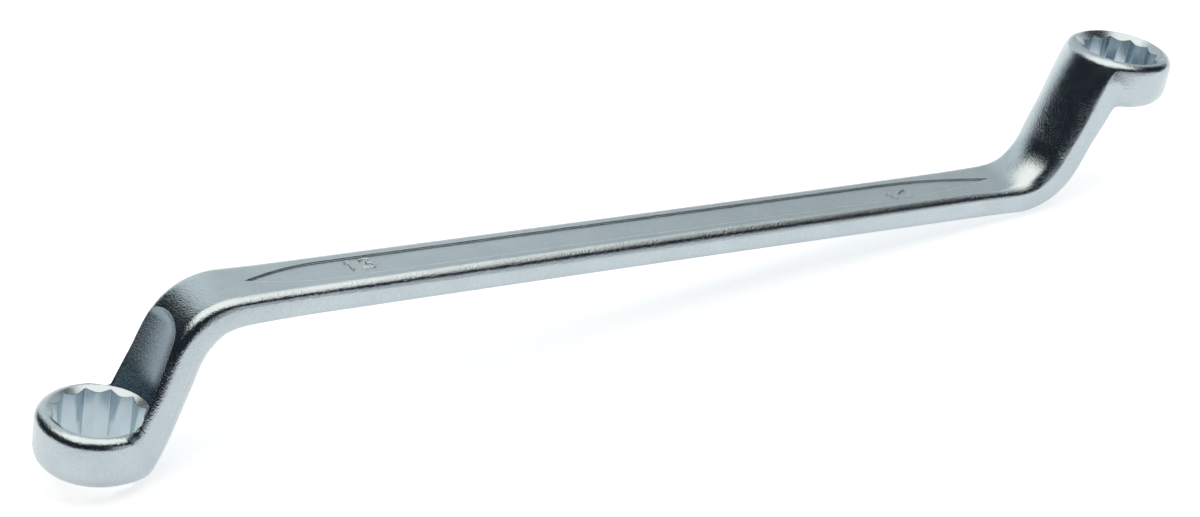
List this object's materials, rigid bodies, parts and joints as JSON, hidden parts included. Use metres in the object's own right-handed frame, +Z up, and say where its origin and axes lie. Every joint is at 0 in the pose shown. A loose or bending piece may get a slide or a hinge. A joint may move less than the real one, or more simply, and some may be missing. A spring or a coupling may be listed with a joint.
{
  "type": "offset ring spanner",
  "caption": "Double-ended deep-offset ring spanner: a flat shank with a twelve-point ring raised at one end and lowered at the other, for turning hexagon nuts and bolts.",
  "frame": {"origin": "on the surface that the spanner lies on, under the middle of its bounding box", "axes": "+X along the tool from the 13 mm ring to the 12 mm ring, +Y across the shank, +Z up; the tool lies as it comes to rest, on its 13 mm ring and under the bend of its 12 mm end"},
  "size_m": [0.2124, 0.0196, 0.0268],
  "materials": {
    "satin_chrome": "satin"
  },
  "bodies": {
    "root": {"spanner_forging": "satin_chrome"}
  },
  "joints": []
}
